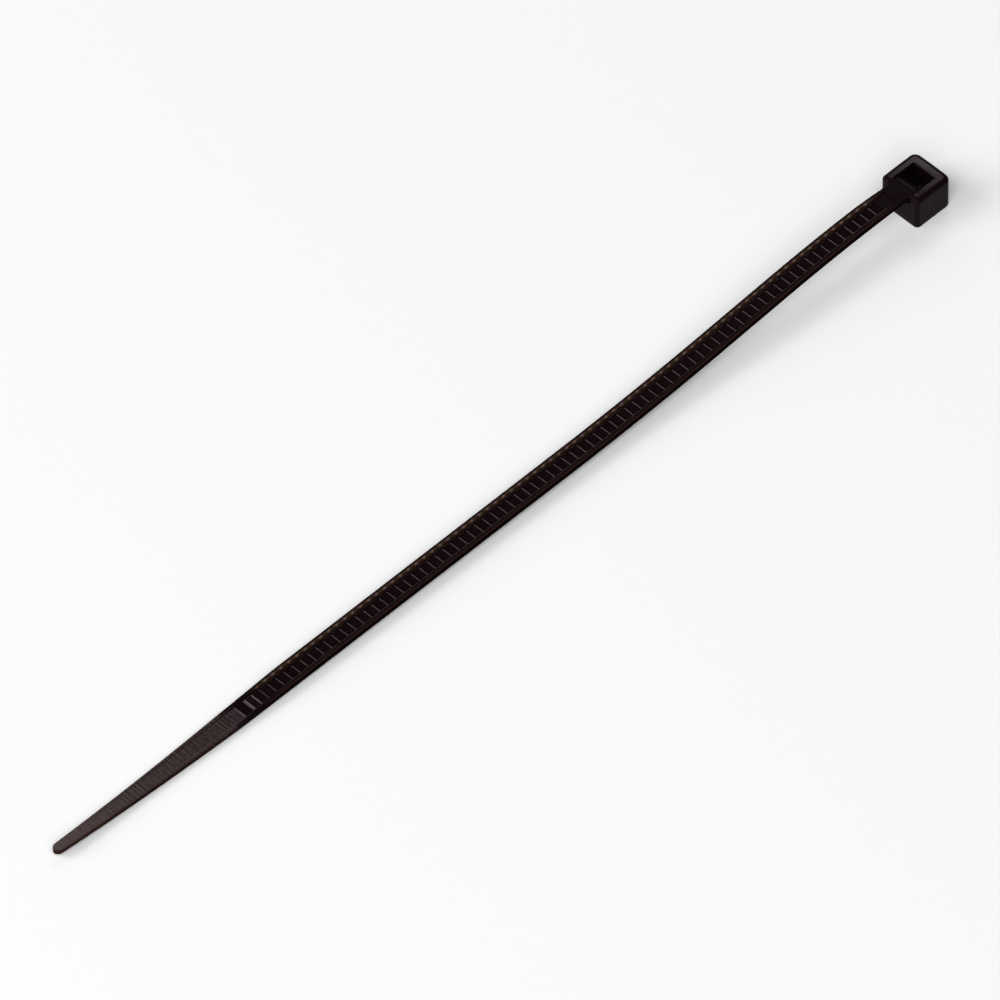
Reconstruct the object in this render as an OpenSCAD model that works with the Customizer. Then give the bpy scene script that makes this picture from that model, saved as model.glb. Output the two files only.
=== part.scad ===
// One-piece moulded cable tie, lying at rest with its teeth up.
// The origin is the middle of the slot on the head's base, +X points from the tip to the head, +Z up.
// Distances along the strap run from the head's face to the tip, heights from the strap's underside.

/* [Strap] */
// Length of the strap from the head's face to the tip
strap_l = 110.7; // [104:0.1:125]
// Width of the strap
strap_w = 2.55; // [2.3:0.05:2.9]
// Thickness of the strap over its rails
strap_t = 0.96; // [0.85:0.01:1.05]
// Thickness of the tooth crests, the plain tail and the plain neck
crest_t = 0.57; // [0.5:0.01:0.65]
// Thickness of the web in the tooth gaps
web_t = 0.35; // [0.28:0.01:0.42]
// Width of the rail on each side of the teeth
rail_w = 0.46; // [0.35:0.01:0.55]
// Radius of the strap's two lower edges
strap_edge_r = 0.34; // [0.15:0.01:0.42]
// Radius of the strap's two upper edges
strap_top_r = 0.12; // [0.05:0.01:0.14]

/* [Teeth] */
// Spacing of the teeth
tooth_pitch = 1.038; // [0.9:0.001:1.2]
// Flat land on a tooth crest
tooth_land = 0.15; // [0.08:0.01:0.25]
// Run of the steep tooth face that looks towards the head
tooth_steep = 0.06; // [0.02:0.01:0.12]
// Distance from the head's face to the first tooth
tooth_start = 3.5; // [2.9:0.01:4.5]
// Extra land on the tooth next to the tail
last_land = 0.3; // [0:0.01:0.4]
// Extra land on the second tooth from the tail
second_land = 0.13; // [0:0.01:0.3]

/* [Tail] */
// Length of the plain tail
tail_l = 24.15; // [20:0.05:30]
// Distance over which the rails die away into the strap's tail end
rail_fade_l = 6.7; // [4:0.1:10]
// Stretch of the tail beside which the last of the rails runs out
rail_run_l = 1.5; // [0.5:0.1:3]
// Width of the tail where the round tip begins
tip_w = 1.12; // [0.8:0.02:1.6]

/* [Bow] */
// Level stretch of the strap at the head
level_l = 1.7; // [1.3:0.1:4]
// Radius of the bend in which the strap turns down
drop_r = 160; // [120:5:200]
// Straight falling stretch
slope_l = 8.5; // [4:0.5:14]
// Radius of the bend in which the strap levels out
sag_r = 260; // [200:5:320]
// Long stretch that is nearly flat
flat_l = 46.4; // [40:0.1:52]
// Fall of the nearly flat stretch in degrees
flat_fall = 0.67; // [0.3:0.01:1]
// Radius of the bend that lifts the tip off the table
tail_r = 255; // [200:5:320]

/* [Neck] */
// Length of the raised pad between the channel's end and the head
pad_l = 1.2; // [0.8:0.05:1.5]
// Thickness of the strap at the pad
pad_t = 0.76; // [0.65:0.01:0.85]
// Drop from the head's top to the pad's top
pad_drop = 0.02; // [0.01:0.01:0.3]
// Distance over which the rails rise from the pad to their full height
rail_rise_l = 3.3; // [2:0.1:6]
// Radius of the fillets between the strap and the head's face
neck_fillet_r = 0.3; // [0.1:0.02:0.5]

/* [Head] */
// Height of the head
head_h = 3.76; // [3.5:0.01:4.2]
// Wall between the slot and the face that the strap leaves
tail_wall = 1.12; // [1:0.005:1.5]
// Wall behind the slot, which the strap slides along
rear_wall = 1.19; // [0.9:0.005:1.4]
// Wall on each side of the slot
side_wall = 1.01; // [0.8:0.01:1.3]
// Radius of the head's upright edges on the strap's side
face_corner_r = 0.44; // [0.44:0.02:0.8]
// Radius of the head's two upright edges at the rear
rear_corner_r = 0.74; // [0.44:0.02:0.8]
// Radius of the edges round the head's top
head_top_r = 0.42; // [0.2:0.01:0.44]
// Radius of the edges round the head's base
head_base_r = 0.18; // [0.1:0.01:0.4]

/* [Slot] */
// Clearance on each side of the strap in the slot
slot_side_gap = 0.11; // [0.06:0.01:0.2]
// Length of the slot along the tie, which holds the pawl and one thickness of strap
slot_l = 2.27; // [2.1:0.01:2.6]
// Length of the rounded lead-in on the pawl's side of the slot
lead_l = 0.7; // [0.4:0.05:0.95]
// Depth of the lead-in where it meets the slot
lead_d = 0.25; // [0.1:0.01:0.4]

/* [Pawl] */
// Clearance on each side of the pawl in the strap's channel
pawl_side_gap = 0.1; // [0.05:0.01:0.2]
// Drop from the head's top to the pawl's root, where the lead-in ends
pawl_drop = 0.27; // [0.26:0.01:0.7]
// Thickness of the pawl's hinge at its root
hinge_t = 0.55; // [0.4:0.01:0.7]
// Thickness of the pawl behind its teeth
pawl_t = 0.55; // [0.4:0.01:0.7]
// Reach of the pawl's shoulder, which is as wide as the slot and carries the lead-in on
pawl_shoulder = 0.53; // [0.35:0.01:0.6]
// Fall of the shoulder over its reach
shoulder_fall = 0.25; // [0.1:0.01:0.3]
// Teeth on the pawl
pawl_teeth = 3; // [2:1:3]
// Depth of the pawl's teeth
pawl_tooth_d = 0.18; // [0.1:0.01:0.22]
// Gap between the relaxed pawl's tip and the strap's web
pawl_web_gap = 0.1; // [0.05:0.01:0.2]
// Height of the pawl's tip over the head's base
pawl_tip_h = 0.7; // [0.4:0.05:1]
// Depth of the pocket behind the pawl, into which it bends
pocket_d = 0.5; // [0.3:0.01:0.6]

/* [Hidden] */
$fn = 48;
nylon_black = [0.13, 0.11, 0.12];
edge_steps = 5;
over = 0.5;
channel_w = strap_w - 2 * rail_w;

// Head and slot along X
slot_w = strap_w + 2 * slot_side_gap;
slot_front = -slot_l / 2;
slot_rear = slot_l / 2;
face_x = slot_front - tail_wall;
rear_x = slot_rear + rear_wall;
head_w = slot_w + 2 * side_wall;

// Height of the strap's underside at the head
seat_h = head_h - pad_drop - pad_t;

// Places along the strap
tail_s = strap_l - tail_l;
plain_s = tail_s + rail_run_l;
tooth_n = round((tail_s - tooth_start) / tooth_pitch);
shoulder_s = strap_l - tip_w / 2;
rise_s = pad_l + rail_rise_l;
fade_s = plain_s - rail_fade_l;

// Spacing of the rings that carry the strap's section along the bow
ring_step = 3;

// Root of the pawl on the tail wall, and the edge of its shoulder
pawl_root = [slot_front, head_h - pawl_drop];
pawl_edge = pawl_root + [pawl_shoulder, -shoulder_fall];

// The head's upright edges are at least as round as its top and base edges
face_r = max(face_corner_r, head_top_r, head_base_r);
rear_r = max(rear_corner_r, head_top_r, head_base_r);

// The fall of the slope that brings the strap's lowest point to the table
bends_r = drop_r + sag_r;
level_fall = flat_l * sin(flat_fall) + (tail_r - sag_r) * (1 - cos(flat_fall));
slope_fall = atan2(bends_r, slope_l) + asin((seat_h - level_fall - bends_r) / norm([bends_r, slope_l]));

// Pieces of the bow as [length, curvature], with an upward bend positive.
// The strap starts inside the head's tail wall, so that the two are one piece
root_l = tail_wall / 2;
drop_l = drop_r * slope_fall * PI / 180;
sag_l = sag_r * (slope_fall - flat_fall) * PI / 180;
lift_l = strap_l - level_l - drop_l - slope_l - sag_l - flat_l;
bow = [[root_l + level_l, 0], [drop_l, -1 / drop_r], [slope_l, 0], [sag_l, 1 / sag_r], [flat_l, 0], [lift_l, 1 / tail_r]];

// A station is [distance from the head's face, height of the underside, slope in degrees]
function go(at, l, bend) =
    bend == 0
        ? [at.x + l * cos(at.z), at.y + l * sin(at.z), at.z]
        : let (end = at.z + l * bend * 180 / PI)
          [at.x + (sin(end) - sin(at.z)) / bend, at.y - (cos(end) - cos(at.z)) / bend, end];

// Stations at the start of each piece, and how far along the strap each piece starts
stations = [
    for (i = 0, at = [-root_l, seat_h, 0]; i < len(bow); at = go(at, bow[i].x, bow[i].y), i = i + 1) at
];
reached = [for (i = 0, s = -root_l; i < len(bow); s = s + bow[i].x, i = i + 1) s];

// The last piece that starts at or before the distance s
function piece_at(s) = max([for (i = [0:len(bow) - 1]) if (reached[i] <= s) i]);

// The point [x, z] at distance s along the strap and height h over its underside
function on_strap(s, h) =
    let (i = piece_at(s), at = go(stations[i], s - reached[i], bow[i].y))
    [face_x - at.x + h * sin(at.z), at.y + h * cos(at.z)];

// Points on a round edge
function arc(centre, r, from, to) =
    [for (i = [0:edge_steps]) let (a = from + (to - from) * i / edge_steps) centre + r * [cos(a), sin(a)]];

// Section of the strap as [across, height], with round lower edges of radius r and round upper ones of top_r
function section(half_w, t, r, top_r) =
    concat(
        arc([-half_w + r, r], r, 180, 270),
        arc([half_w - r, r], r, 270, 360),
        arc([half_w - top_r, t - top_r], top_r, 0, 90),
        arc([-half_w + top_r, t - top_r], top_r, 90, 180)
    );

// A prism across the tie, from a side view drawn in [x, z]
module side_prism(points, w) {
    rotate([90, 0, 0])
        linear_extrude(w, center = true)
            polygon(points);
}

// Distance of the steep face of tooth i, and where its land ends
function steep_s(i) =
    i == tooth_n ? tail_s
    : tooth_start + i * tooth_pitch - (i == tooth_n - 1 ? last_land : i == tooth_n - 2 ? second_land : 0);
function land_end_s(i) = tooth_start + i * tooth_pitch + tooth_land;

// The channel between the rails: each gap falls gently away from one crest and rises steeply to the next
module channel() {
    gaps = [
        for (i = [0:tooth_n])
            each [[land_end_s(i - 1), crest_t], [steep_s(i) - tooth_steep, web_t], [steep_s(i), crest_t]]
    ];
    floor = concat([[pad_l, strap_t + over], [pad_l, crest_t]], gaps, [[plain_s, crest_t], [plain_s, strap_t + over]]);
    roof = [for (i = [1:19]) let (s = plain_s + (pad_l - plain_s) * i / 20) [s, strap_t + over]];
    side_prism([for (p = concat(floor, roof)) on_strap(p.x, p.y)], channel_w);
}

// Values at even steps of about ring_step from a to b, without b itself
function steps(a, b) = let (n = ceil((b - a) / ring_step)) [for (i = [0:n - 1]) a + (b - a) * i / n];

// Half the strap's width: even along the teeth, then a straight taper that ends in a round tip
function half_w(s) =
    s <= plain_s ? strap_w / 2
    : s <= shoulder_s ? strap_w / 2 + (tip_w - strap_w) / 2 * (s - plain_s) / (shoulder_s - plain_s)
    : sqrt(pow(tip_w / 2, 2) - pow(s - shoulder_s, 2));

// Thickness over the rails, which rise from the pad and die away on the tail
function over_rails(s) = lookup(s, [[pad_l, pad_t], [rise_s, strap_t], [fade_s, strap_t], [plain_s, crest_t]]);

// The strap before its channel is cut, as rings of its section that follow the bow
module strap_blank() {
    rings = concat(
        [-root_l, 0],
        steps(pad_l, rise_s),
        steps(rise_s, fade_s),
        steps(fade_s, plain_s),
        steps(plain_s, shoulder_s),
        [for (a = [0:10:80]) shoulder_s + tip_w / 2 * sin(a)]
    );
    points = [
        for (s = rings)
            let (w = half_w(s))
            for (p = section(w, over_rails(s), min(strap_edge_r, w * 0.9), min(strap_top_r, w * 0.9)))
                let (q = on_strap(s, p.y)) [q.x, p.x, q.y]
    ];
    n = len(points) / len(rings);
    last = len(points) - n;
    sides = [
        for (i = [0:len(rings) - 2], j = [0:n - 1])
            let (a = i * n + j, b = i * n + (j + 1) % n)
            each [[a, b, b + n], [a, b + n, a + n]]
    ];
    polyhedron(points, concat([[for (j = [0:n - 1]) n - 1 - j]], sides, [[for (j = [0:n - 1]) last + j]]));
}

module strap() {
    difference() {
        strap_blank();
        channel();
    }
}

// Side view of the head, w long or wide, with its rounded top and base edges
module head_profile(w) {
    base = head_base_r;
    top = head_h - head_top_r;
    polygon(concat(
        arc([-w / 2 + base, base], base, 180, 270),
        arc([w / 2 - base, base], base, 270, 360),
        arc([w / 2 - head_top_r, top], head_top_r, 0, 90),
        arc([-w / 2 + head_top_r, top], head_top_r, 90, 180)
    ));
}

// One round upright corner of the head, of radius r
module head_corner(r) {
    rotate_extrude()
        polygon(concat(
            [[0, 0]],
            arc([r - head_base_r, head_base_r], head_base_r, 270, 360),
            arc([r - head_top_r, head_h - head_top_r], head_top_r, 0, 90),
            [[0, head_h]]
        ));
}

// One end of the head: its flat face at x, with round upright corners of radius r inside it
module head_end(x, r) {
    translate([x, 0, 0]) {
        rotate([90, 0, 0])
            linear_extrude(head_w - 2 * r, center = true)
                head_profile(2 * r);
        for (y = [-1, 1])
            translate([0, y * (head_w / 2 - r), 0])
                head_corner(r);
    }
}

module head_block() {
    from = face_x + face_r;
    to = rear_x - rear_r;
    translate([from, 0, 0])
        rotate([90, 0, 90])
            linear_extrude(to - from)
                head_profile(head_w);
    head_end(from, face_r);
    head_end(to, rear_r);
}

// The slot right through the head
module slot() {
    translate([slot_front, -slot_w / 2, -over])
        cube([slot_l, slot_w, head_h + 2 * over]);
}

// The rounded lead-in that guides the tip from the strap's side into the slot
module lead_in() {
    r = (pow(lead_l, 2) + pow(lead_d, 2)) / (2 * lead_d);
    difference() {
        translate([slot_front - lead_l, -slot_w / 2, head_h - lead_d])
            cube([lead_l + over / 2, slot_w, lead_d + over]);
        translate([slot_front - lead_l, 0, head_h - r])
            rotate([90, 0, 0])
                cylinder(r = r, h = slot_w + 2 * over, center = true, $fn = 4 * $fn);
    }
}

// The pocket behind the pawl, open at the base
module pocket() {
    translate([slot_front - pocket_d, -slot_w / 2, -over])
        cube([pocket_d + over / 2, slot_w, pawl_root.y - hinge_t + over]);
}

// The pawl's shoulder, as wide as the slot, and the hinge under it
module shoulder() {
    hinge = pawl_root - [0, hinge_t];
    buried = [-over / 5, 0];
    side_prism(
        [pawl_root + buried, pawl_root, pawl_edge, pawl_edge - [0, hinge_t - shoulder_fall], hinge, hinge + buried],
        slot_w + over / 5
    );
}

// The pawl: a tongue from the shoulder down to the exit, with its teeth towards the rear wall
module pawl() {
    tip = [slot_rear - web_t - pawl_web_gap, pawl_tip_h];
    run = tip - pawl_edge;
    out = [-run.y, run.x] / norm(run);
    top = pawl_edge - [pawl_tooth_d, pawl_tooth_d];
    foot = pawl_edge - out * pawl_tooth_d / 2;
    toe = tip - out * pawl_tooth_d;
    teeth = [
        for (i = [1:pawl_teeth])
            let (p = foot + (toe - foot) * i / pawl_teeth)
            each [p + out * pawl_tooth_d, p]
    ];
    side_prism(
        concat([top, foot], teeth, [toe - out * pawl_t, pawl_root - [0, hinge_t - pawl_tooth_d]]),
        channel_w - 2 * pawl_side_gap
    );
}

// A quarter-round fillet of height h in the corner between two walls
module fillet(r, h) {
    linear_extrude(h)
        difference() {
            translate([-r, -over / 5])
                square([r + over / 5, r + over / 5]);
            translate([-r, r])
                circle(r);
        }
}

// Fillets from the strap's sides and underside to the head's face
module neck_fillets() {
    top = head_h - head_top_r;
    for (side = [0, 1])
        mirror([0, side, 0])
            translate([face_x, strap_w / 2, seat_h + strap_edge_r])
                fillet(neck_fillet_r, top - seat_h - strap_edge_r);
    translate([face_x, strap_w / 2 - strap_edge_r, seat_h])
        rotate([90, 0, 0])
            mirror([0, 1, 0])
                fillet(neck_fillet_r, strap_w - 2 * strap_edge_r);
}

module cable_tie() {
    color(nylon_black) {
        difference() {
            head_block();
            slot();
            lead_in();
            pocket();
        }
        shoulder();
        pawl();
        strap();
        neck_fillets();
    }
}

cable_tie();
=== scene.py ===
"""A black nylon cable tie that lies on a white table with its teeth up.

The strap is one section carried along the bow in which it lies, with the tooth profile in its channel.
The head is one wall section carried round the slot, and the pawl is a side view carried across the slot.
Shapes are worked out in millimetres, in the part's own frame, and scaled to metres when a mesh is made.
"""

import bpy
import numpy as np
from mathutils import Matrix, Vector


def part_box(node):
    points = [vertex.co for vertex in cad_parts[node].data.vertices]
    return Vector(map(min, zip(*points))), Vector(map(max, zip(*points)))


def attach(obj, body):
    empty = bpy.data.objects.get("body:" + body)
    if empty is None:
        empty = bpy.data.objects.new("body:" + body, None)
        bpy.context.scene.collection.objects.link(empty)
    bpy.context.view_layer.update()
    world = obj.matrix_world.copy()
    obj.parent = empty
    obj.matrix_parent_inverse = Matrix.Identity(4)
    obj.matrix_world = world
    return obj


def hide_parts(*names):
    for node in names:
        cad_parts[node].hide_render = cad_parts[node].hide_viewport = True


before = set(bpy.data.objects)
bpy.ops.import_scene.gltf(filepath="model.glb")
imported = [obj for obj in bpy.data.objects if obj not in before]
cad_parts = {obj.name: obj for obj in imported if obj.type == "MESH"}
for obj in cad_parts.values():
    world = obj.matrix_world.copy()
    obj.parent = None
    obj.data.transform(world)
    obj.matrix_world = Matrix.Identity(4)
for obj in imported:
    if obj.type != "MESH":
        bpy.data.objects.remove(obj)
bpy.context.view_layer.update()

MM = 0.001
NODE = "cable_tie"
low, high = (np.array(corner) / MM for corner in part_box(NODE))

# The strap's section
STRAP_W = 2.55
STRAP_T = 0.96
CREST_T = 0.57
WEB_T = 0.35
RAIL_W = 0.46
RAIL_LEAN = np.radians(5)
RAIL_TILT = np.radians(9)
UPPER_EDGE_R = 0.12
INNER_EDGE_R = 0.12
RAIL_FOOT_R = 0.05
LOWER_EDGE_R = 0.34

# The teeth, with distances from the head's face
TOOTH_PITCH = 1.038
TOOTH_LAND = 0.15
TOOTH_STEEP = 0.06
TOOTH_START = 3.5
LAST_LAND = 0.3
SECOND_LAND = 0.13
TOOTH_EDGE_R = 0.03
LAND_FALL = (0.016, 0.028)

# Counts and first columns of the section's stretches, from the underside's middle to the channel's middle
LOWER_N, UPPER_N, INNER_N, FOOT_N = 8, 7, 7, 5
LOWER = 1
UPPER = LOWER + LOWER_N
RAIL_MID = UPPER + UPPER_N
INNER = RAIL_MID + 1
FOOT = INNER + INNER_N
HALF_N = FOOT + FOOT_N + 2

# The plain tail and the neck
TAIL_L = 24.15
RAIL_FADE_L = 6.7
RAIL_RUN_L = 1.5
TIP_W = 1.12
PAD_L = 1.2
PAD_T = 0.76
RAIL_RISE_L = 3.3
RAIL_BEND_R = 0.3
NECK_FILLET_R = 0.3
TAIL_STEP = 0.25

# The bow in which the strap lies
LEVEL_L = 1.7
DROP_R = 160
SLOPE_L = 8.5
SAG_R = 260
FLAT_L = 46.4
FLAT_FALL = np.radians(0.67)
LIFT_R = 255

# The head and its slot
HEAD_H = 3.76
PAD_DROP = 0.02
TAIL_WALL = 1.12
SLOT_L = 2.27
SLOT_W = 2.77
FACE_CORNER_R = 0.44
REAR_CORNER_R = 0.74
HEAD_TOP_R = 0.42
HEAD_BASE_R = 0.18
CROWN_X_R = 90.0
CROWN_Y_R = 50.0
PAD_SINK = 0.003
BURY_SLOPE = 0.1
SLOT_EDGE_R = 0.06
SLOT_CORNER_R = 0.1
LEAD_L = 0.78
LEAD_SLOPE = np.radians(20)
LEAD_EASE = 0.03
LEAD_FADE = 0.15
LEAD_PAST_EDGE = 0.2
POCKET_D = 0.5

# The pawl
PAWL_DROP = 0.278
HINGE_T = 0.55
SHOULDER = 0.53
SHOULDER_FALL = 0.193
PAWL_T = 0.55
PAWL_TEETH = 3
PAWL_TOOTH_D = 0.18
PAWL_GAP = 0.1
PAWL_TIP_H = 0.7
SHOULDER_BURIED = 0.3
SHOULDER_IN_WALL = 0.05
SHOULDER_EDGE_R = 0.07
SHOULDER_END_R = 0.02
TONGUE_EDGE_R = 0.04
TONGUE_END_R = 0.05

# The finishes: their places in the list of materials, where they change, the nylon's colour and gloss, and
# the colours of the painted light in its base colour
POLISHED, SATIN, MATT, GRIPPED = range(4)
OUTSIDE_ROWS = 24
SHARP_ANGLE = np.radians(38)
NYLON_IOR = 1.53
NYLON_BLACK = (0.0045, 0.0017, 0.0022, 1)
# Painted light: the brown of the painted glow, as of light shining through the nylon, the pale of the
# painted glints, and the brown's place on the ramp between
PAINTED_GLOW_BROWN = (0.040, 0.0195, 0.0125, 1)
PAINTED_GLINT_PALE = (0.15, 0.108, 0.092, 1)
BROWN_AT = 0.25
GLOSS_TINT = (1.0, 0.78, 0.87, 1)
PATCHES_PER_METRE = 900

# Painted light: the painted glints at the teeth (strength, shift along the strap, width), and the stronger
# painted glow along the tail's edges
GLINT = 0.8
GLINT_SHIFT = 0.1
GLINT_R = 0.14
PAINTED_TAIL_EDGE_GLOW = 1.8

# Half the table's side, and the camera: its angles from straight in front, middle point, scale and lens
TABLE_HALF = 2000.0
VIEW_TURN = np.radians(45.29)
VIEW_RISE = np.radians(48.72)
VIEW_CENTRE = (-53.21, 1.64, 0.0)
PIXELS_PER_MM = 10.84
FRAME_PIXELS = 1000
LENS = 1450
SENSOR = 36

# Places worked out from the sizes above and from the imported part's box
slot_front = -SLOT_L / 2
slot_rear = SLOT_L / 2
face_x = slot_front - TAIL_WALL
rear_x = high[0]
head_w = high[1] - low[1]
seat_h = HEAD_H - PAD_DROP - PAD_T
root_l = TAIL_WALL / 2


def bow_pieces(length):
    """The strap's bow as lengths and curvatures: level, drop, slope, sag, flat and lift.

    Upward bends are positive. The slope's fall is the angle at which the lowest point of the underside comes
    to the table.
    """
    bends = DROP_R + SAG_R
    level_fall = FLAT_L * np.sin(FLAT_FALL) + (LIFT_R - SAG_R) * (1 - np.cos(FLAT_FALL))
    drop = seat_h - level_fall
    fall = np.arctan2(bends, SLOPE_L) + np.arcsin((drop - bends) / np.hypot(bends, SLOPE_L))
    lengths = [root_l + LEVEL_L, DROP_R * fall, SLOPE_L, SAG_R * (fall - FLAT_FALL), FLAT_L]
    lengths.append(length + root_l - sum(lengths))
    return np.array(lengths), np.array([0, -1 / DROP_R, 0, 1 / SAG_R, 0, 1 / LIFT_R])


def bow(s, length):
    """Distance from the head's face, height and slope of the underside at each distance s along the strap.

    Each piece of the bow is a straight or an arc: the slope grows by curvature times distance, and the
    position by the chord of that arc, which is the distance times the sine of half the turn over it.
    """
    lengths, bends = bow_pieces(length)
    starts = -root_l + np.concatenate([[0], np.cumsum(lengths)[:-1]])
    turns = np.concatenate([[0], np.cumsum(lengths * bends)[:-1]])

    def chord(run, slope, bend):
        half = run * bend / 2
        reach = run * np.sinc(half / np.pi)
        return reach * np.cos(slope + half), reach * np.sin(slope + half)

    steps = np.array([chord(*piece) for piece in zip(lengths, turns, bends)])
    at = np.array([-root_l, seat_h]) + np.concatenate([[[0, 0]], np.cumsum(steps, axis=0)[:-1]])
    i = np.clip(np.searchsorted(starts, s, side="right") - 1, 0, len(lengths) - 1)
    run = s - starts[i]
    x, z = chord(run, turns[i], bends[i])
    return at[i, 0] + x, at[i, 1] + z, turns[i] + bends[i] * run


def strap_length():
    """The length at which the strap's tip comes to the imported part's end."""
    reach = face_x - low[0]
    length = reach
    for _ in range(20):
        tip_x = bow(np.array([length]), length)[0][0]
        length += reach - tip_x
    return length


strap_l = strap_length()
tail_s = strap_l - TAIL_L
plain_s = tail_s + RAIL_RUN_L
shoulder_s = strap_l - TIP_W / 2
tooth_n = round((tail_s - TOOTH_START) / TOOTH_PITCH)


def tooth_breaks():
    """Distances and heights at the corners of the channel's floor, from the pad to the plain tail.

    Each tooth's land falls towards its steep face, and more so towards the tail. LAND_FALL gives the fall up
    to half way and at the last tooth.
    """
    i = np.arange(tooth_n + 1)
    extra = LAST_LAND * (i == tooth_n - 1) + SECOND_LAND * (i == tooth_n - 2)
    steep = np.where(i == tooth_n, tail_s, TOOTH_START + i * TOOTH_PITCH - extra)
    land_end = TOOTH_START + (i - 1) * TOOTH_PITCH + TOOTH_LAND
    land_end[0] = steep[0] - TOOTH_PITCH + TOOTH_LAND
    s = np.stack([land_end, steep - TOOTH_STEEP, steep], axis=1).ravel()
    land_fall = np.interp(steep, [tail_s / 2, tail_s], LAND_FALL)
    h = np.stack([0 * i + CREST_T, 0 * i + WEB_T, CREST_T - land_fall], axis=1).ravel()
    s = np.concatenate([[-root_l, PAD_L, PAD_L + TOOTH_STEEP / 2], s, [strap_l]])
    h = np.concatenate([[PAD_T, PAD_T, CREST_T], h, [CREST_T]])
    return s, h


def rounded_lookup(s, breaks, heights, r):
    """A line through the breaks with its corners rounded: its mean over each stretch from s - r to s + r."""
    area = np.concatenate([[0], np.cumsum(np.diff(breaks) * (heights[1:] + heights[:-1]) / 2)])

    def integral(at):
        i = np.clip(np.searchsorted(breaks, at, side="right") - 1, 0, len(breaks) - 2)
        run = at - breaks[i]
        slope = (heights[i + 1] - heights[i]) / (breaks[i + 1] - breaks[i])
        return area[i] + run * heights[i] + slope * run ** 2 / 2

    return (integral(s + r) - integral(s - r)) / (2 * r)


def over_rails(s):
    """Thickness over the rails, which rise from the pad and die away on the tail."""
    rise_end = PAD_L + RAIL_RISE_L
    fade_start = plain_s - RAIL_FADE_L
    breaks = np.array([-strap_l, PAD_L, rise_end, fade_start, plain_s, 2 * strap_l])
    heights = np.array([PAD_T, PAD_T, STRAP_T, STRAP_T, CREST_T, CREST_T])
    return rounded_lookup(s, breaks, heights, RAIL_BEND_R)


def half_width(s):
    """Half the strap's width: even along the teeth, then a straight taper that ends in a round tip."""
    taper = np.interp(s, [plain_s, shoulder_s], [STRAP_W / 2, TIP_W / 2])
    beyond = np.clip((s - shoulder_s) / (TIP_W / 2), 0, 1)
    return taper * np.sqrt(1 - beyond ** 2)


def turn(centre, r, first, last, count):
    """Points on an arc of radius r, in degrees, as arrays of across and height offsets from its centre."""
    a = np.radians(np.linspace(first, last, count))
    return centre[0] + r * np.cos(a), centre[1] + r * np.sin(a)


def half_section(top, floor):
    """Half the strap's section, from the middle of the underside to the middle of the channel's floor.

    Across positions are those of the full width. Heights run over the round lower edge, up the side, round
    the upper edge, in along the rail's top, which rises inwards at RAIL_TILT, round its inner edge, down the
    wall, which leans out at RAIL_LEAN, and along the floor. Where the rail dies away, its top and wall sink
    with it.
    """
    w = STRAP_W / 2
    lean = np.degrees(RAIL_LEAN)
    up = 90 - np.degrees(RAIL_TILT)
    lower_y, lower_z = turn((w - LOWER_EDGE_R, LOWER_EDGE_R), LOWER_EDGE_R, -90, 0, LOWER_N)
    inner_at = (w - RAIL_W + INNER_EDGE_R, -INNER_EDGE_R)
    inner_y, inner_z = turn(inner_at, INNER_EDGE_R, up, 180 - lean, INNER_N)
    wall_foot = inner_y[-1] - np.tan(RAIL_LEAN) * (STRAP_T - WEB_T - INNER_EDGE_R)
    foot_y, foot_z = turn((wall_foot - RAIL_FOOT_R, RAIL_FOOT_R), RAIL_FOOT_R, -lean, -90, FOOT_N)
    upper_y, upper_z = turn((w - UPPER_EDGE_R, -UPPER_EDGE_R), UPPER_EDGE_R, 0, up, UPPER_N)
    fall = inner_z[0] - upper_z[-1] - np.tan(RAIL_TILT) * (upper_y[-1] - inner_y[0])
    one = np.ones_like(top)[:, None]
    rail = np.clip((top - floor)[:, None] / (2 * (INNER_EDGE_R + RAIL_FOOT_R)), 0, 1)
    mid_y, mid_z = (upper_y[-1] + inner_y[:1]) / 2, (upper_z[-1] + fall + inner_z[:1]) / 2
    top, floor = top[:, None], floor[:, None]
    z = [
        0 * one,
        one * lower_z,
        top + upper_z + rail * fall,
        top + rail * mid_z,
        top + rail * inner_z,
        floor + rail * foot_z,
        floor + 0 * one,
        floor + 0 * one,
    ]
    y = np.concatenate([[0], lower_y, upper_y, mid_y, inner_y, foot_y, [wall_foot / 2, 0]])
    return y, np.concatenate(z, axis=1)


def mirrored(half):
    """Values round the whole section from those of one half, in the order of ring."""
    return np.concatenate([half, half[-2:0:-1]])


def ring(y, z):
    """The whole section from one half, as a ring that runs from the underside up the +Y side and back."""
    return np.concatenate([y, -y[-2:0:-1]]), np.concatenate([z, z[:, -2:0:-1]], axis=1)


def strap_stations():
    """Distances of the rings: close together at the tooth corners, and further apart along the tail."""
    closest = 0.006
    corners = tooth_breaks()[0]
    near = (corners[:, None] + TOOTH_EDGE_R * np.array([-1, -0.5, 0, 0.5, 1])).ravel()
    ramp_start, ramp_end = corners[3:-1:3, None], corners[4:-1:3, None]
    ramps = (ramp_start + (ramp_end - ramp_start) * np.array([0.35, 0.7])).ravel()
    fillet = np.linspace(-root_l, NECK_FILLET_R, 24)
    pad = np.linspace(NECK_FILLET_R, PAD_L - 0.08, 6)
    tail = np.arange(tail_s, shoulder_s, TAIL_STEP)
    tip = shoulder_s + TIP_W / 2 * np.sin(np.radians(np.linspace(0, 88, 16)))
    s = np.sort(np.concatenate([near, ramps, fillet, pad, tail, tip]))
    s = s[(s >= -root_l) & (s <= tip[-1])]
    return s[np.concatenate([[True], np.diff(s) > closest])]


def crown(x, y):
    """How far the head's domed top has fallen at x, y from the slot's middle, by one radius each way."""
    return x ** 2 / (2 * CROWN_X_R) + y ** 2 / (2 * CROWN_Y_R)


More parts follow.
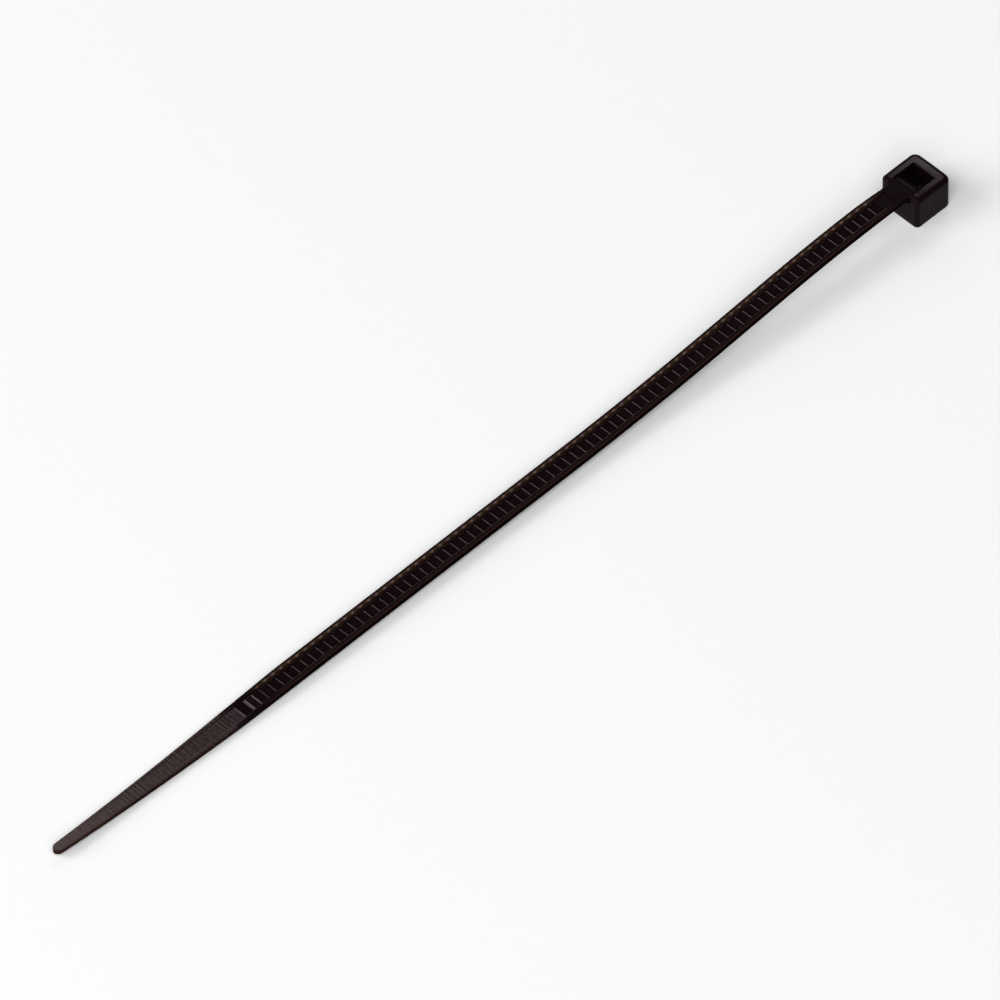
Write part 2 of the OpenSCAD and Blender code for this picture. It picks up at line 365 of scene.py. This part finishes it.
def lead_in(x, y):
    """Depth of the lead-in, a ramp from LEAD_L before the slot at LEAD_SLOPE, eased in where it starts.

    It runs on across the pawl's shoulder, and fades out over the last of the slot's width.
    """
    run = np.clip(x - (slot_front - LEAD_L), 0, LEAD_L)
    beside = np.clip((SLOT_W / 2 - np.abs(y)) / LEAD_FADE + 0.5, 0, 1)
    ramp = np.tan(LEAD_SLOPE) * (np.sqrt(run ** 2 + LEAD_EASE ** 2) - LEAD_EASE)
    return ramp * beside * beside * (3 - 2 * beside) * (x < slot_front + LEAD_PAST_EDGE)


def top_inset(z):
    """How far the head's rounded top edge has drawn in at height z."""
    up = np.clip(z - (HEAD_H - HEAD_TOP_R), 0, HEAD_TOP_R)
    return HEAD_TOP_R - np.sqrt(HEAD_TOP_R ** 2 - up ** 2)


def strap_surface():
    """The strap as a grid of rings: the section at each station, laid square to the bow.

    At the head it flares by the gap between a line and a quarter circle, which is a fillet to the face. The
    pad's top follows the head's, and its end goes down under it at BURY_SLOPE.
    """
    s = strap_stations()
    breaks, heights = tooth_breaks()
    floor = rounded_lookup(s, breaks, heights, TOOTH_EDGE_R)
    floor[0] = floor[1]
    top = np.maximum(over_rails(s), floor)
    x, z, slope = bow(s, strap_l)
    pad_top = HEAD_H - PAD_SINK - crown(face_x - x, 0) - z
    on_pad = np.clip((PAD_L + TOOTH_STEEP - s) / TOOTH_STEEP, 0, 1)
    floor = floor + (pad_top - PAD_T) * on_pad
    top = top + (pad_top - PAD_T) * np.maximum(on_pad, np.clip(1 - (s - PAD_L), 0, 1))
    top = np.maximum(top, floor)
    y, h = ring(*half_section(top, floor))
    narrowing = half_width(s) / (STRAP_W / 2)
    y = narrowing[:, None] * y
    x, z, slope = x[:, None], z[:, None], slope[:, None]
    X = face_x - x + h * np.sin(slope)
    Z = z + h * np.cos(slope)
    reach = np.clip(face_x - X + top_inset(Z), 0, NECK_FILLET_R)
    flare = NECK_FILLET_R - np.sqrt(NECK_FILLET_R ** 2 - (NECK_FILLET_R - reach) ** 2)
    share = np.abs(y) / (STRAP_W / 2)
    Y = y + np.sign(y) * flare * share ** 4
    Z = Z - flare * (1 - h / PAD_T).clip(0, 1)
    upper = (h / top[:, None]) ** 4 * on_pad[:, None]
    buried = BURY_SLOPE * np.clip(X - face_x - HEAD_TOP_R, 0, 1)
    Z = Z - upper * (crown(0, Y) + lead_in(X, Y) + buried)
    return np.stack([X, Y, Z], axis=2)


def painted_glow_and_glints(s):
    """The share of painted light in the base colour, from 0 to 1, at each station and each point of the
    ring.

    It is a brown painted glow that stands for light shining through the nylon, and pale painted glints. The
    glow is most where the far rail's top meets its inner wall and weaker on the near rail, and the painted
    glints lie there at the end of each tooth's land, as a bell curve along the strap. A little painted glow
    lies on the tail, and more at its edges.
    """
    # Shares of painted glow round each stretch of the section, on the far rail and on the near rail
    below, rise = np.zeros(UPPER), np.linspace(0, 1, UPPER_N)
    far_inner = [0.14, 0.2, 0.25, 0.27, 0.27, 0.25, 0.22]
    near_outer = [0, 0.03, 0.09, 0.14, 0.14, 0.09, 0.05]
    near_inner = 0.17 * rise ** 3
    wall = [0.07, 0.05, 0.02, 0, 0, 0, 0]
    far = np.concatenate([below, 0.01 * rise, [0.02], far_inner, wall])
    near = np.concatenate([below, near_outer, [0.02], near_inner, wall])
    across = np.concatenate([far, near[-2:0:-1]])
    # Painted glints on the far rail's inner edge, at each tooth
    glint = np.zeros_like(across)
    glint[INNER:FOOT] = [0.2, 0.6, 1, 1, 1, 0.9, 0.6]
    # The painted glow is stronger along the tail's edges
    edge_glow = np.ones(HALF_N)
    edge_glow[RAIL_MID - 2:RAIL_MID] = PAINTED_TAIL_EDGE_GLOW
    # Where the painted glints sit along the strap, and where the painted glow fades in and out
    lands = TOOTH_START + np.arange(tooth_n) * TOOTH_PITCH + GLINT_SHIFT
    off = np.abs(s[:, None] - lands).min(axis=1)
    along = np.clip(np.minimum(s - PAD_L, plain_s - RAIL_FADE_L / 2 - s) / 2, 0, 1)[:, None]
    spots = GLINT * np.exp(-(off / GLINT_R) ** 2)[:, None] * glint
    # A little painted glow on the tail, most near the tip
    tail_at = [tail_s, tail_s + 3, strap_l - 10, strap_l - 4]
    tail = np.interp(s, tail_at, [0, 0.07, 0.06, 0.14])[:, None]
    return along * (across + spots) + tail * mirrored(edge_glow)


def mesh_piece(name, points, faces, finish=None, painted_light=None):
    """A piece of the tie from points in millimetres, with outward faces, that rides on the part's one body.

    finish is each face's place in the list of finishes, and the last argument each point's share of painted
    glow and painted glints in the base colour.
    """
    mesh = bpy.data.meshes.new(name)
    mesh.from_pydata((points * MM).tolist(), [], faces)
    mesh.validate()
    mesh.shade_smooth()
    mesh.set_sharp_from_angle(angle=SHARP_ANGLE)
    piece = bpy.data.objects.new(name, mesh)
    bpy.context.scene.collection.objects.link(piece)
    for material in finishes:
        mesh.materials.append(material)
    if finish is not None:
        mesh.polygons.foreach_set("material_index", np.asarray(finish, dtype=np.int32))
    # The share of painted light, glow and glints, which the materials turn into base colour
    glow = mesh.attributes.new("painted_glow_and_glints", "FLOAT", "POINT")
    glow.data.foreach_set("value", np.zeros(len(points)) if painted_light is None else painted_light)
    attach(piece, "root")
    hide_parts(NODE)
    return piece


def grid_faces(rows, columns, close_rows=False):
    """Quads between neighbouring points of a grid whose columns close on themselves."""
    r = np.arange(rows if close_rows else rows - 1)[:, None]
    c = np.arange(columns)[None, :]
    a = r * columns + c
    b = r * columns + (c + 1) % columns
    up = (r + 1) % rows * columns
    return np.stack([a, b, up + (c + 1) % columns, up + c], axis=2).reshape(-1, 4)


def strap_finish(s, columns):
    """The finish of each quad between the stations s, by its place along the strap and round the section."""
    at = s[:-1, None]
    half = np.tile(np.arange(columns // 2), (len(s) - 1, 1))
    finish = np.select([half < LOWER, half <= UPPER, half < INNER], [POLISHED, MATT, SATIN], POLISHED)
    finish[(at >= tail_s) & (half >= INNER)] = GRIPPED
    finish[(at >= plain_s) & (half >= RAIL_MID - 1)] = GRIPPED
    finish[(at < TOOTH_START - TOOTH_PITCH) & (half >= INNER)] = SATIN
    pad_end = PAD_L + TOOTH_STEEP / 4
    finish[(np.abs(at - pad_end) < TOOTH_STEEP / 2) & (half >= INNER)] = MATT
    return np.concatenate([finish, finish[:, ::-1]], axis=1).ravel()


def make_strap():
    """The strap's rings joined by quads, with one flat face over each end."""
    points = strap_surface()
    rows, columns = points.shape[:2]
    faces = grid_faces(rows, columns)[:, ::-1].tolist()
    faces.append(list(range(columns)))
    faces.append([(rows - 1) * columns + c for c in reversed(range(columns))])
    s = strap_stations()
    finish = np.append(strap_finish(s, columns), [MATT, MATT])
    return mesh_piece("strap", points.reshape(-1, 3), faces, finish, painted_glow_and_glints(s).ravel())


def outline(front, rear, half, radii, inset, sides=24, arcs=10):
    """Points round a rectangle with round corners, as many for every size, so that outlines pair up.

    front, rear and half are arrays over the levels, radii gives the corner radius at the front and at the
    rear, and inset shrinks the outline and its corners alike. The points run from the rear side's -Y end
    towards +Y.
    """
    front, rear, half = front + inset, rear - inset, half - inset
    r_front = np.maximum(radii[0] - inset, 0.001)
    r_rear = np.maximum(radii[1] - inset, 0.001)
    t = np.linspace(0, 1, sides, endpoint=False)
    a = np.radians(np.linspace(0, 90, arcs, endpoint=False))
    sizes = np.broadcast_arrays(front, rear, half, r_front, r_rear)
    f, b, w, rf, rr = (size[:, None] for size in sizes)
    x = np.concatenate([
        b + 0 * t,
        b - rr + rr * np.cos(a),
        (b - rr) + (f + rf - b + rr) * t,
        f + rf - rf * np.sin(a),
        f + 0 * t,
        f + rf - rf * np.cos(a),
        (f + rf) + (b - rr - f - rf) * t,
        b - rr + rr * np.sin(a),
    ], axis=1)
    y = np.concatenate([
        (w - rr) * (2 * t - 1),
        w - rr + rr * np.sin(a),
        w + 0 * t,
        w - rf + rf * np.cos(a),
        (w - rf) * (1 - 2 * t),
        -w + rf - rf * np.sin(a),
        -w + 0 * t,
        -w + rr - rr * np.cos(a),
    ], axis=1)
    return x, y


def head_surface():
    """The head as a grid of outlines that turn once round its wall's section.

    The section climbs from the rounded base edge up the outside, over the rounded top edge, across the top
    to the slot, down the slot's walls, with the pocket on the pawl's side, and back across the base.
    """
    quarter = np.radians(np.linspace(0, 90, 9))
    base_z = HEAD_BASE_R - HEAD_BASE_R * np.cos(quarter)
    base_in = HEAD_BASE_R - HEAD_BASE_R * np.sin(quarter)
    top_z = HEAD_H - HEAD_TOP_R + HEAD_TOP_R * np.sin(quarter)
    top_in = HEAD_TOP_R - HEAD_TOP_R * np.cos(quarter)
    side_z = np.linspace(HEAD_BASE_R, HEAD_H - HEAD_TOP_R, 8)[1:-1]
    z = np.concatenate([base_z, side_z, top_z])
    inset = np.concatenate([base_in, np.zeros_like(side_z), top_in])
    outer = outline(face_x, rear_x, head_w / 2, (FACE_CORNER_R, REAR_CORNER_R), inset)
    outer = np.stack([*outer, np.broadcast_to(z[:, None], outer[0].shape)], axis=2)

    edge = np.radians(np.linspace(0, 90, 5))
    pocket_top = HEAD_H - PAWL_DROP - HINGE_T
    wall_z = np.concatenate([
        HEAD_H - SLOT_EDGE_R * (1 - np.cos(edge)),
        np.linspace(HEAD_H - SLOT_EDGE_R, pocket_top, 8)[1:],
        np.linspace(pocket_top, 0, 8)[1:],
    ])
    spread = np.concatenate([SLOT_EDGE_R * (1 - np.sin(edge)), np.zeros(len(wall_z) - len(edge))])
    front = np.where(wall_z < pocket_top, slot_front - POCKET_D, slot_front)
    inner = outline(front, slot_rear, SLOT_W / 2, (SLOT_CORNER_R, SLOT_CORNER_R), -spread)
    inner = np.stack([*inner, np.broadcast_to(wall_z[:, None], inner[0].shape)], axis=2)

    t = np.linspace(0, 1, 12)[1:-1, None, None]
    across_top = outer[-1] * (1 - t) + inner[0] * t
    across_base = inner[-1] * (1 - t) + outer[0] * t
    grid = np.concatenate([outer, across_top, inner, across_base])
    x, y, z = np.moveaxis(grid, 2, 0)
    near_top = np.clip((z - HEAD_H) / HEAD_TOP_R + 2, 0, 1)
    sunk = crown(x, y) * near_top + lead_in(x, y) * (z > HEAD_H - HEAD_TOP_R)
    return np.stack([x, y, z - sunk], axis=2)


def make_head():
    """The head, satin on the outside up to its rounded top edge, and polished on its top and in the slot."""
    grid = head_surface()
    rows, columns = grid.shape[:2]
    faces = grid_faces(rows, columns, close_rows=True).tolist()
    finish = np.repeat(np.where(np.arange(rows) < OUTSIDE_ROWS, SATIN, POLISHED), columns)
    return mesh_piece("head", grid.reshape(-1, 3), faces, finish)


def softened(corners, r, count=4):
    """A closed side view with each corner rounded by a curve from r before it to r after it.

    The curve is the parabola whose control point is the corner, and r is at most 0.45 of the shorter side.
    """
    before = np.roll(corners, 1, axis=0) - corners
    after = np.roll(corners, -1, axis=0) - corners
    shorter = np.minimum(np.hypot(*before.T), np.hypot(*after.T))
    reach = np.minimum(r, 0.45 * shorter)[:, None]
    a = corners + before / np.hypot(*before.T)[:, None] * reach
    b = corners + after / np.hypot(*after.T)[:, None] * reach
    t = np.linspace(0, 1, count)[None, :, None]
    start, middle, end = a[:, None], corners[:, None], b[:, None]
    return ((1 - t) ** 2 * start + 2 * t * (1 - t) * middle + t ** 2 * end).reshape(-1, 2)


def cross_prism(name, side_view, width, r):
    """A side view carried across the tie, with flat ends, drawn in by r there along a quarter circle.

    Each of its points moves in along its own normal, which is square to the line between its neighbours.
    """
    a = np.radians(np.linspace(0, 90, 5))
    out = width / 2 - r * (1 - np.sin(a))
    y = np.concatenate([-out[::-1], out])
    shrink = r * (1 - np.cos(np.concatenate([a[::-1], a])))
    after, before = np.roll(side_view, -1, axis=0), np.roll(side_view, 1, axis=0)
    tangent = after - before
    normal = np.stack([-tangent[:, 1], tangent[:, 0]], axis=1)
    normal /= np.maximum(np.hypot(*normal.T), 1e-9)[:, None]
    area = np.sum(side_view[:, 0] * after[:, 1] - after[:, 0] * side_view[:, 1])
    inward = normal * np.sign(area)
    rings = side_view[None] + shrink[:, None, None] * inward[None]
    points = np.stack([rings[..., 0], np.broadcast_to(y[:, None], rings.shape[:2]), rings[..., 1]], axis=2)
    rows, columns = points.shape[:2]
    faces = grid_faces(rows, columns)
    faces = (faces if area < 0 else faces[:, ::-1]).tolist()
    first = list(range(columns))
    last = [(rows - 1) * columns + c for c in range(columns)]
    faces += [first, last[::-1]] if area > 0 else [first[::-1], last]
    return mesh_piece(name, points.reshape(-1, 3), faces)


def make_pawl():
    """The shoulder, as wide as the slot, and the toothed tongue under it."""
    root = np.array([slot_front, HEAD_H - PAWL_DROP])
    edge = root + [SHOULDER, -SHOULDER_FALL]
    tip = np.array([slot_rear - WEB_T - PAWL_GAP, PAWL_TIP_H])
    run = tip - edge
    out = np.array([-run[1], run[0]]) / np.hypot(*run)
    foot = edge - out * PAWL_TOOTH_D / 2
    toe = tip - out * PAWL_TOOTH_D
    marks = foot + (toe - foot) * np.arange(1, PAWL_TEETH + 1)[:, None] / PAWL_TEETH
    teeth = np.stack([marks + out * PAWL_TOOTH_D, marks], axis=1).reshape(-1, 2)
    tongue = np.concatenate([
        [edge - PAWL_TOOTH_D, foot],
        teeth,
        [toe - out * PAWL_T, root - [0, HINGE_T - PAWL_TOOTH_D]],
    ])
    hinge = root - [0, HINGE_T]
    shoulder = np.array([
        root - (edge - root) / 4,
        edge,
        edge - [0, HINGE_T - SHOULDER_FALL],
        hinge,
        hinge - [SHOULDER_BURIED, 0],
    ])
    shoulder_w = SLOT_W + 2 * SHOULDER_IN_WALL
    tongue_w = STRAP_W - 2 * RAIL_W - 2 * PAWL_GAP
    cross_prism("pawl_shoulder", softened(shoulder, SHOULDER_EDGE_R), shoulder_w, SHOULDER_END_R)
    cross_prism("pawl", softened(tongue, TONGUE_EDGE_R), tongue_w, TONGUE_END_R)


def moulded_nylon(name, level, roughness, grain, depth):
    """Moulded nylon: near black, with a brown painted glow and pale painted glints, a fine grain and faint
    patches of gloss.

    level is the shader's specular level, and roughness its least and most. grain is how many grains a metre
    holds each way, and depth is their height in metres.
    """
    material = bpy.data.materials.new(name)
    material.use_nodes = True
    nodes, links = material.node_tree.nodes, material.node_tree.links
    shader = nodes["Principled BSDF"]
    shader.inputs["IOR"].default_value = NYLON_IOR
    shader.inputs["Specular IOR Level"].default_value = level
    shader.inputs["Specular Tint"].default_value = GLOSS_TINT
    # Painted light in the base colour: the attribute's share runs from the black through the brown painted
    # glow to the pale painted glints
    painted_light = nodes.new("ShaderNodeAttribute")
    painted_light.attribute_name = "painted_glow_and_glints"
    colour = nodes.new("ShaderNodeValToRGB")
    stops = colour.color_ramp.elements
    stops[0].color = NYLON_BLACK
    stops[1].color = PAINTED_GLINT_PALE
    stops.new(BROWN_AT).color = PAINTED_GLOW_BROWN
    links.new(painted_light.outputs["Fac"], colour.inputs["Fac"])
    links.new(colour.outputs["Color"], shader.inputs["Base Color"])
    place = nodes.new("ShaderNodeTexCoord")
    spacing = nodes.new("ShaderNodeMapping")
    spacing.inputs["Scale"].default_value = grain
    links.new(place.outputs["Object"], spacing.inputs["Vector"])
    grains = nodes.new("ShaderNodeTexNoise")
    grains.inputs["Scale"].default_value = 1.0
    grains.inputs["Detail"].default_value = 3
    links.new(spacing.outputs["Vector"], grains.inputs["Vector"])
    bump = nodes.new("ShaderNodeBump")
    bump.inputs["Strength"].default_value = 1.0
    bump.inputs["Distance"].default_value = depth
    links.new(grains.outputs["Fac"], bump.inputs["Height"])
    links.new(bump.outputs["Normal"], shader.inputs["Normal"])
    patches = nodes.new("ShaderNodeTexNoise")
    patches.inputs["Scale"].default_value = PATCHES_PER_METRE
    patches.inputs["Detail"].default_value = 2
    links.new(place.outputs["Object"], patches.inputs["Vector"])
    gloss = nodes.new("ShaderNodeMapRange")
    gloss.inputs["To Min"].default_value = roughness[0]
    gloss.inputs["To Max"].default_value = roughness[1]
    links.new(patches.outputs["Fac"], gloss.inputs["Value"])
    links.new(gloss.outputs["Result"], shader.inputs["Roughness"])
    return material


def white_table():
    """A white, matt table top, which shows the tie's soft shadow."""
    material = bpy.data.materials.new("white_table")
    material.use_nodes = True
    shader = material.node_tree.nodes["Principled BSDF"]
    shader.inputs["Base Color"].default_value = (0.95, 0.95, 0.95, 1)
    shader.inputs["Roughness"].default_value = 1.0
    shader.inputs["Specular IOR Level"].default_value = 0.0
    return material


def make_table():
    """A square of table that reaches far beyond the view."""
    corners = TABLE_HALF * np.array([(-1, -1, 0), (1, -1, 0), (1, 1, 0), (-1, 1, 0)]) + np.array(VIEW_CENTRE)
    mesh = bpy.data.meshes.new("table")
    mesh.from_pydata((corners * MM).tolist(), [], [(0, 1, 2, 3)])
    table = bpy.data.objects.new("table", mesh)
    bpy.context.scene.collection.objects.link(table)
    mesh.materials.append(white_table())


def away(turn_angle, rise):
    """The unit vector to a point turned from the front towards the tip's side, and raised."""
    return np.array([-np.sin(turn_angle) * np.cos(rise), -np.cos(turn_angle) * np.cos(rise), np.sin(rise)])


def aim(thing, at, direction, distance, side=(0, 0, 1)):
    """Puts a camera or lamp at a distance from a point, in metres, turned to look at it.

    Its own X axis lies square to the direction side, which for a camera that stands upright is straight up.
    """
    back = Vector(direction).normalized()
    across = Vector(side).cross(back).normalized()
    thing.location = Vector(at) + back * distance
    thing.rotation_euler = Matrix((across, back.cross(across), back)).transposed().to_euler()


def make_camera():
    """A camera with a very long lens, as far off as gives the table PIXELS_PER_MM."""
    data = bpy.data.cameras.new("camera")
    data.lens = LENS
    data.sensor_width = SENSOR
    data.clip_end = 100
    camera = bpy.data.objects.new("camera", data)
    bpy.context.scene.collection.objects.link(camera)
    distance = FRAME_PIXELS * LENS / SENSOR / PIXELS_PER_MM * MM
    aim(camera, np.array(VIEW_CENTRE) * MM, away(VIEW_TURN, VIEW_RISE), distance)
    bpy.context.scene.camera = camera


def softbox(name, direction, distance, size, strength, side=(0, 0, 1)):
    """A rectangular lamp that faces the tie's middle. Its strength is the radiance of its face."""
    data = bpy.data.lights.new(name, "AREA")
    data.shape = "RECTANGLE"
    data.size, data.size_y = size
    data.energy = strength * np.pi * size[0] * size[1]
    lamp = bpy.data.objects.new(name, data)
    bpy.context.scene.collection.objects.link(lamp)
    aim(lamp, np.array(VIEW_CENTRE) * MM, direction, distance, side)


def make_lights():
    """Soft boxes round the tie, and dim surroundings.

    The back strip is where top faces mirror it that are level or lean to the head, and the edge strip where
    the rails' inner edges do. The key stands behind the tip's side, where few faces mirror it, and the fill
    over the camera, so that both light the table more than they shine on the tie.
    """
    softbox("back_strip", (0.64, 0.464, 0.61), 1.5, (0.28, 0.46), 4.6, side=(0.69, 0, -0.724))
    softbox("edge_strip", (0.469, 0.82, 0.33), 1.5, (0.3, 0.4), 2.6)
    softbox("key", (-0.75, 0.45, 0.5), 1.6, (1.2, 1.2), 4.3)
    softbox("fill", away(VIEW_TURN, VIEW_RISE), 3.0, (2.8, 2.8), 3.6)
    world = bpy.data.worlds.new("studio")
    world.use_nodes = True
    world.node_tree.nodes["Background"].inputs["Color"].default_value = (1, 1, 1, 1)
    world.node_tree.nodes["Background"].inputs["Strength"].default_value = 0.03
    bpy.context.scene.world = world


bpy.context.scene.view_settings.view_transform = "Standard"
finishes = [
    moulded_nylon("black_nylon", 0.25, (0.20, 0.28), (9000, 9000, 9000), 2.5e-6),
    moulded_nylon("satin_black_nylon", 0.05, (0.42, 0.52), (7000, 7000, 7000), 4e-6),
    moulded_nylon("matt_black_nylon", 0.0, (0.6, 0.7), (7000, 7000, 7000), 4e-6),
    moulded_nylon("gripped_black_nylon", 0.42, (0.26, 0.36), (4500, 500, 500), 2.5e-5),
]
make_strap()
make_head()
make_pawl()
make_table()
make_camera()
make_lights()
